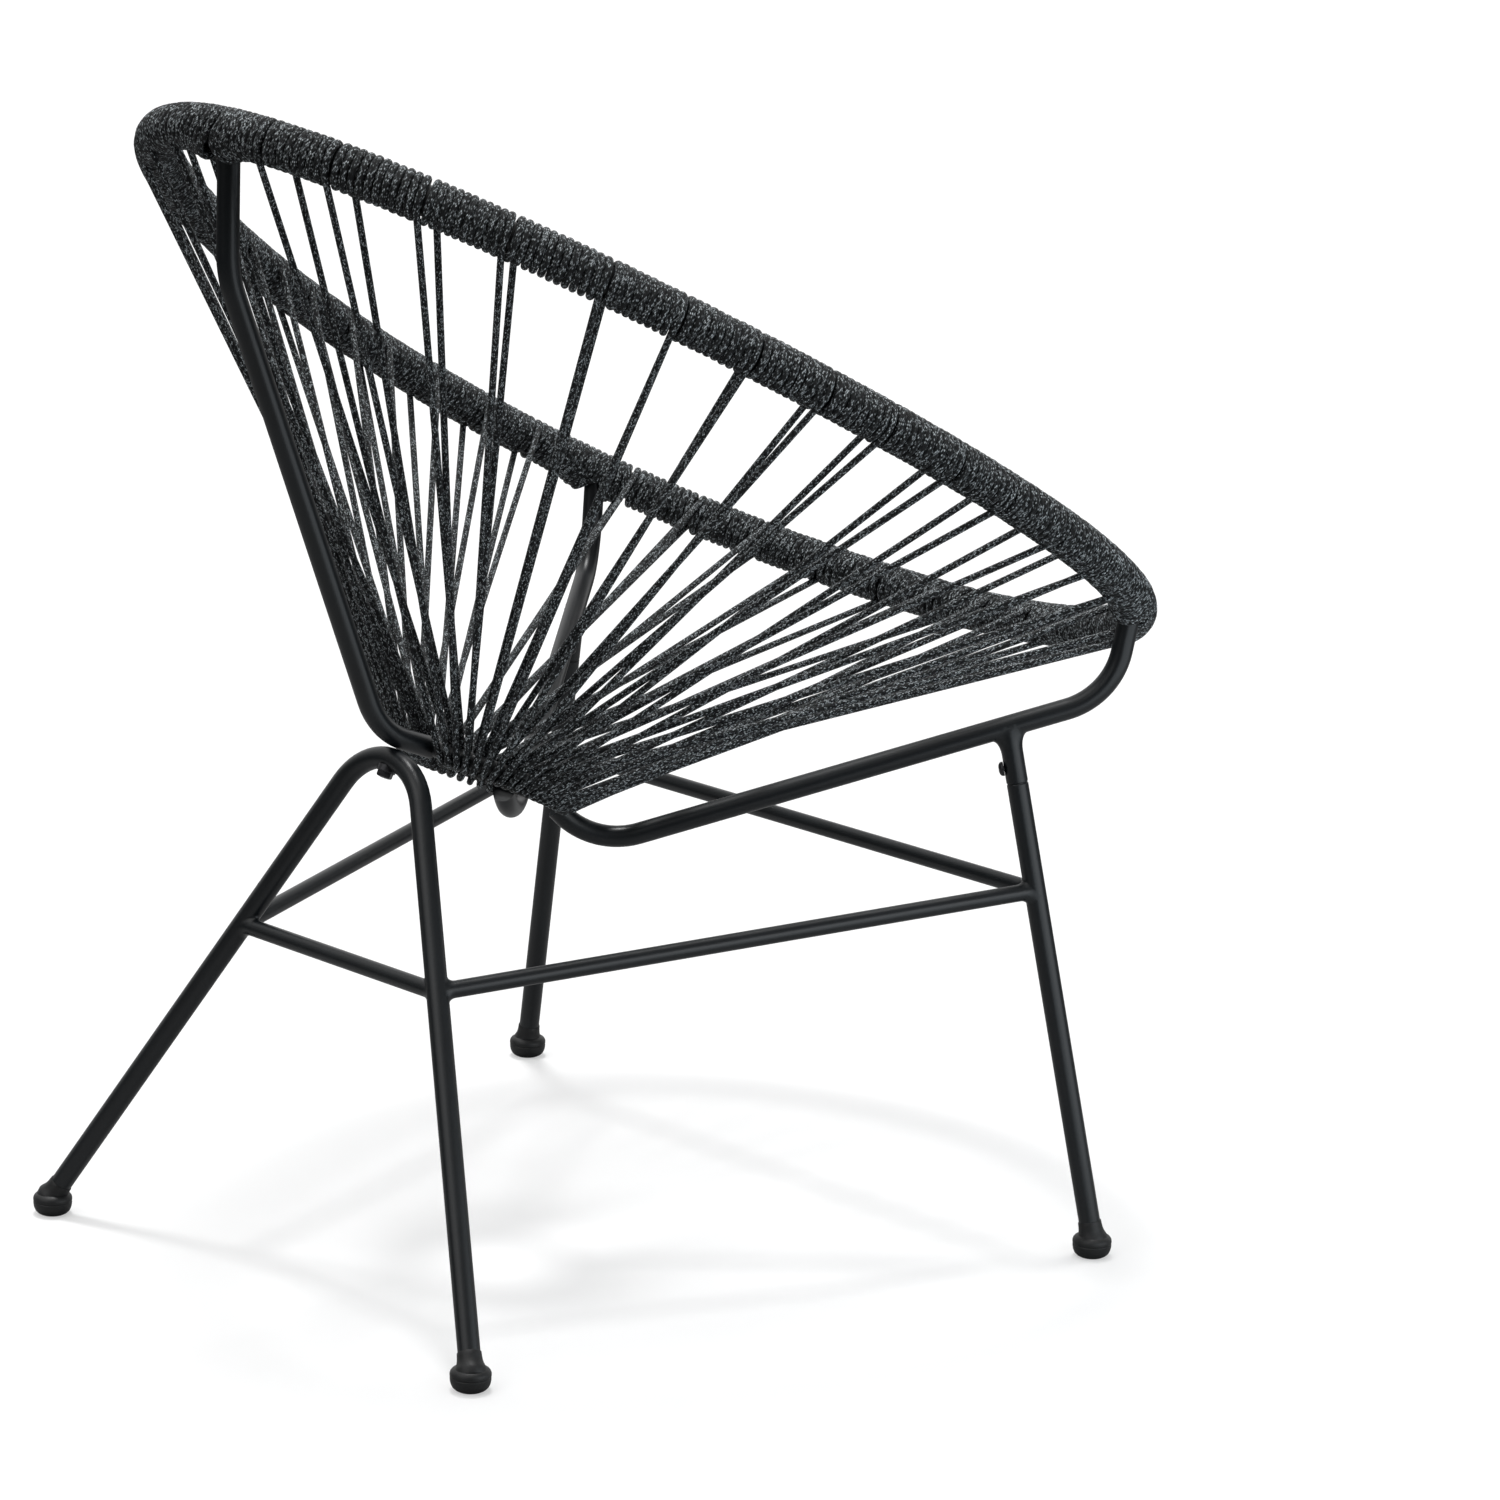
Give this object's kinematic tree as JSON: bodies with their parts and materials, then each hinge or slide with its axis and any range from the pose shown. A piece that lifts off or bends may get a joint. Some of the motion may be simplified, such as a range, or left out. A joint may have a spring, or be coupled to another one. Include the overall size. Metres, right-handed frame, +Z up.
{
  "type": "acapulco chair",
  "caption": "Low lounge chair: a tilted egg-shaped steel hoop wound in round cord, with paired cords strung down to a small seat ring, on a bent-tube base with rubber foot caps.",
  "frame": {"origin": "on the floor, under the middle of the cord-wound hoop", "axes": "the sitter faces -Y, +X is the sitter's left hand, +Z is up"},
  "size_m": [0.7252, 0.7782, 0.8621],
  "materials": {
    "frame": "satin powder coat",
    "cord": "matt braided cord with fine pale flecks",
    "feet": "matt",
    "fastener": "black, satin"
  },
  "bodies": {
    "root": {"rim_hoop": "frame", "seat_ring": "frame", "back_spine": "frame", "front_arm_left": "frame", "front_arm_right": "frame", "leg_socket_left": "frame", "leg_socket_right": "frame", "leg_spigot_left": "frame", "leg_spigot_right": "frame", "front_leg_left": "frame", "front_leg_right": "frame", "back_leg": "frame", "stretcher_left": "frame", "stretcher_right": "frame", "stretcher_back": "frame", "stretcher_front": "frame", "back_leg_bolt": "fastener", "back_leg_washer": "fastener", "socket_screw_left": "fastener", "socket_screw_right": "fastener", "foot_cap_back_left": "feet", "foot_cap_back_right": "feet", "foot_cap_front_left": "feet", "foot_cap_front_right": "feet", "cord_left_1": "cord", "cord_left_2": "cord", "cord_left_3": "cord", "cord_left_4": "cord", "cord_left_5": "cord", "cord_left_6": "cord", "cord_left_7": "cord", "cord_right_1": "cord", "cord_right_2": "cord", "cord_right_3": "cord", "cord_right_4": "cord", "cord_right_5": "cord", "cord_right_6": "cord", "cord_right_7": "cord", "cord_front_1": "cord", "cord_front_2": "cord", "cord_front_3": "cord", "cord_front_4": "cord", "cord_front_5": "cord", "cord_front_6": "cord"}
  },
  "joints": []
}
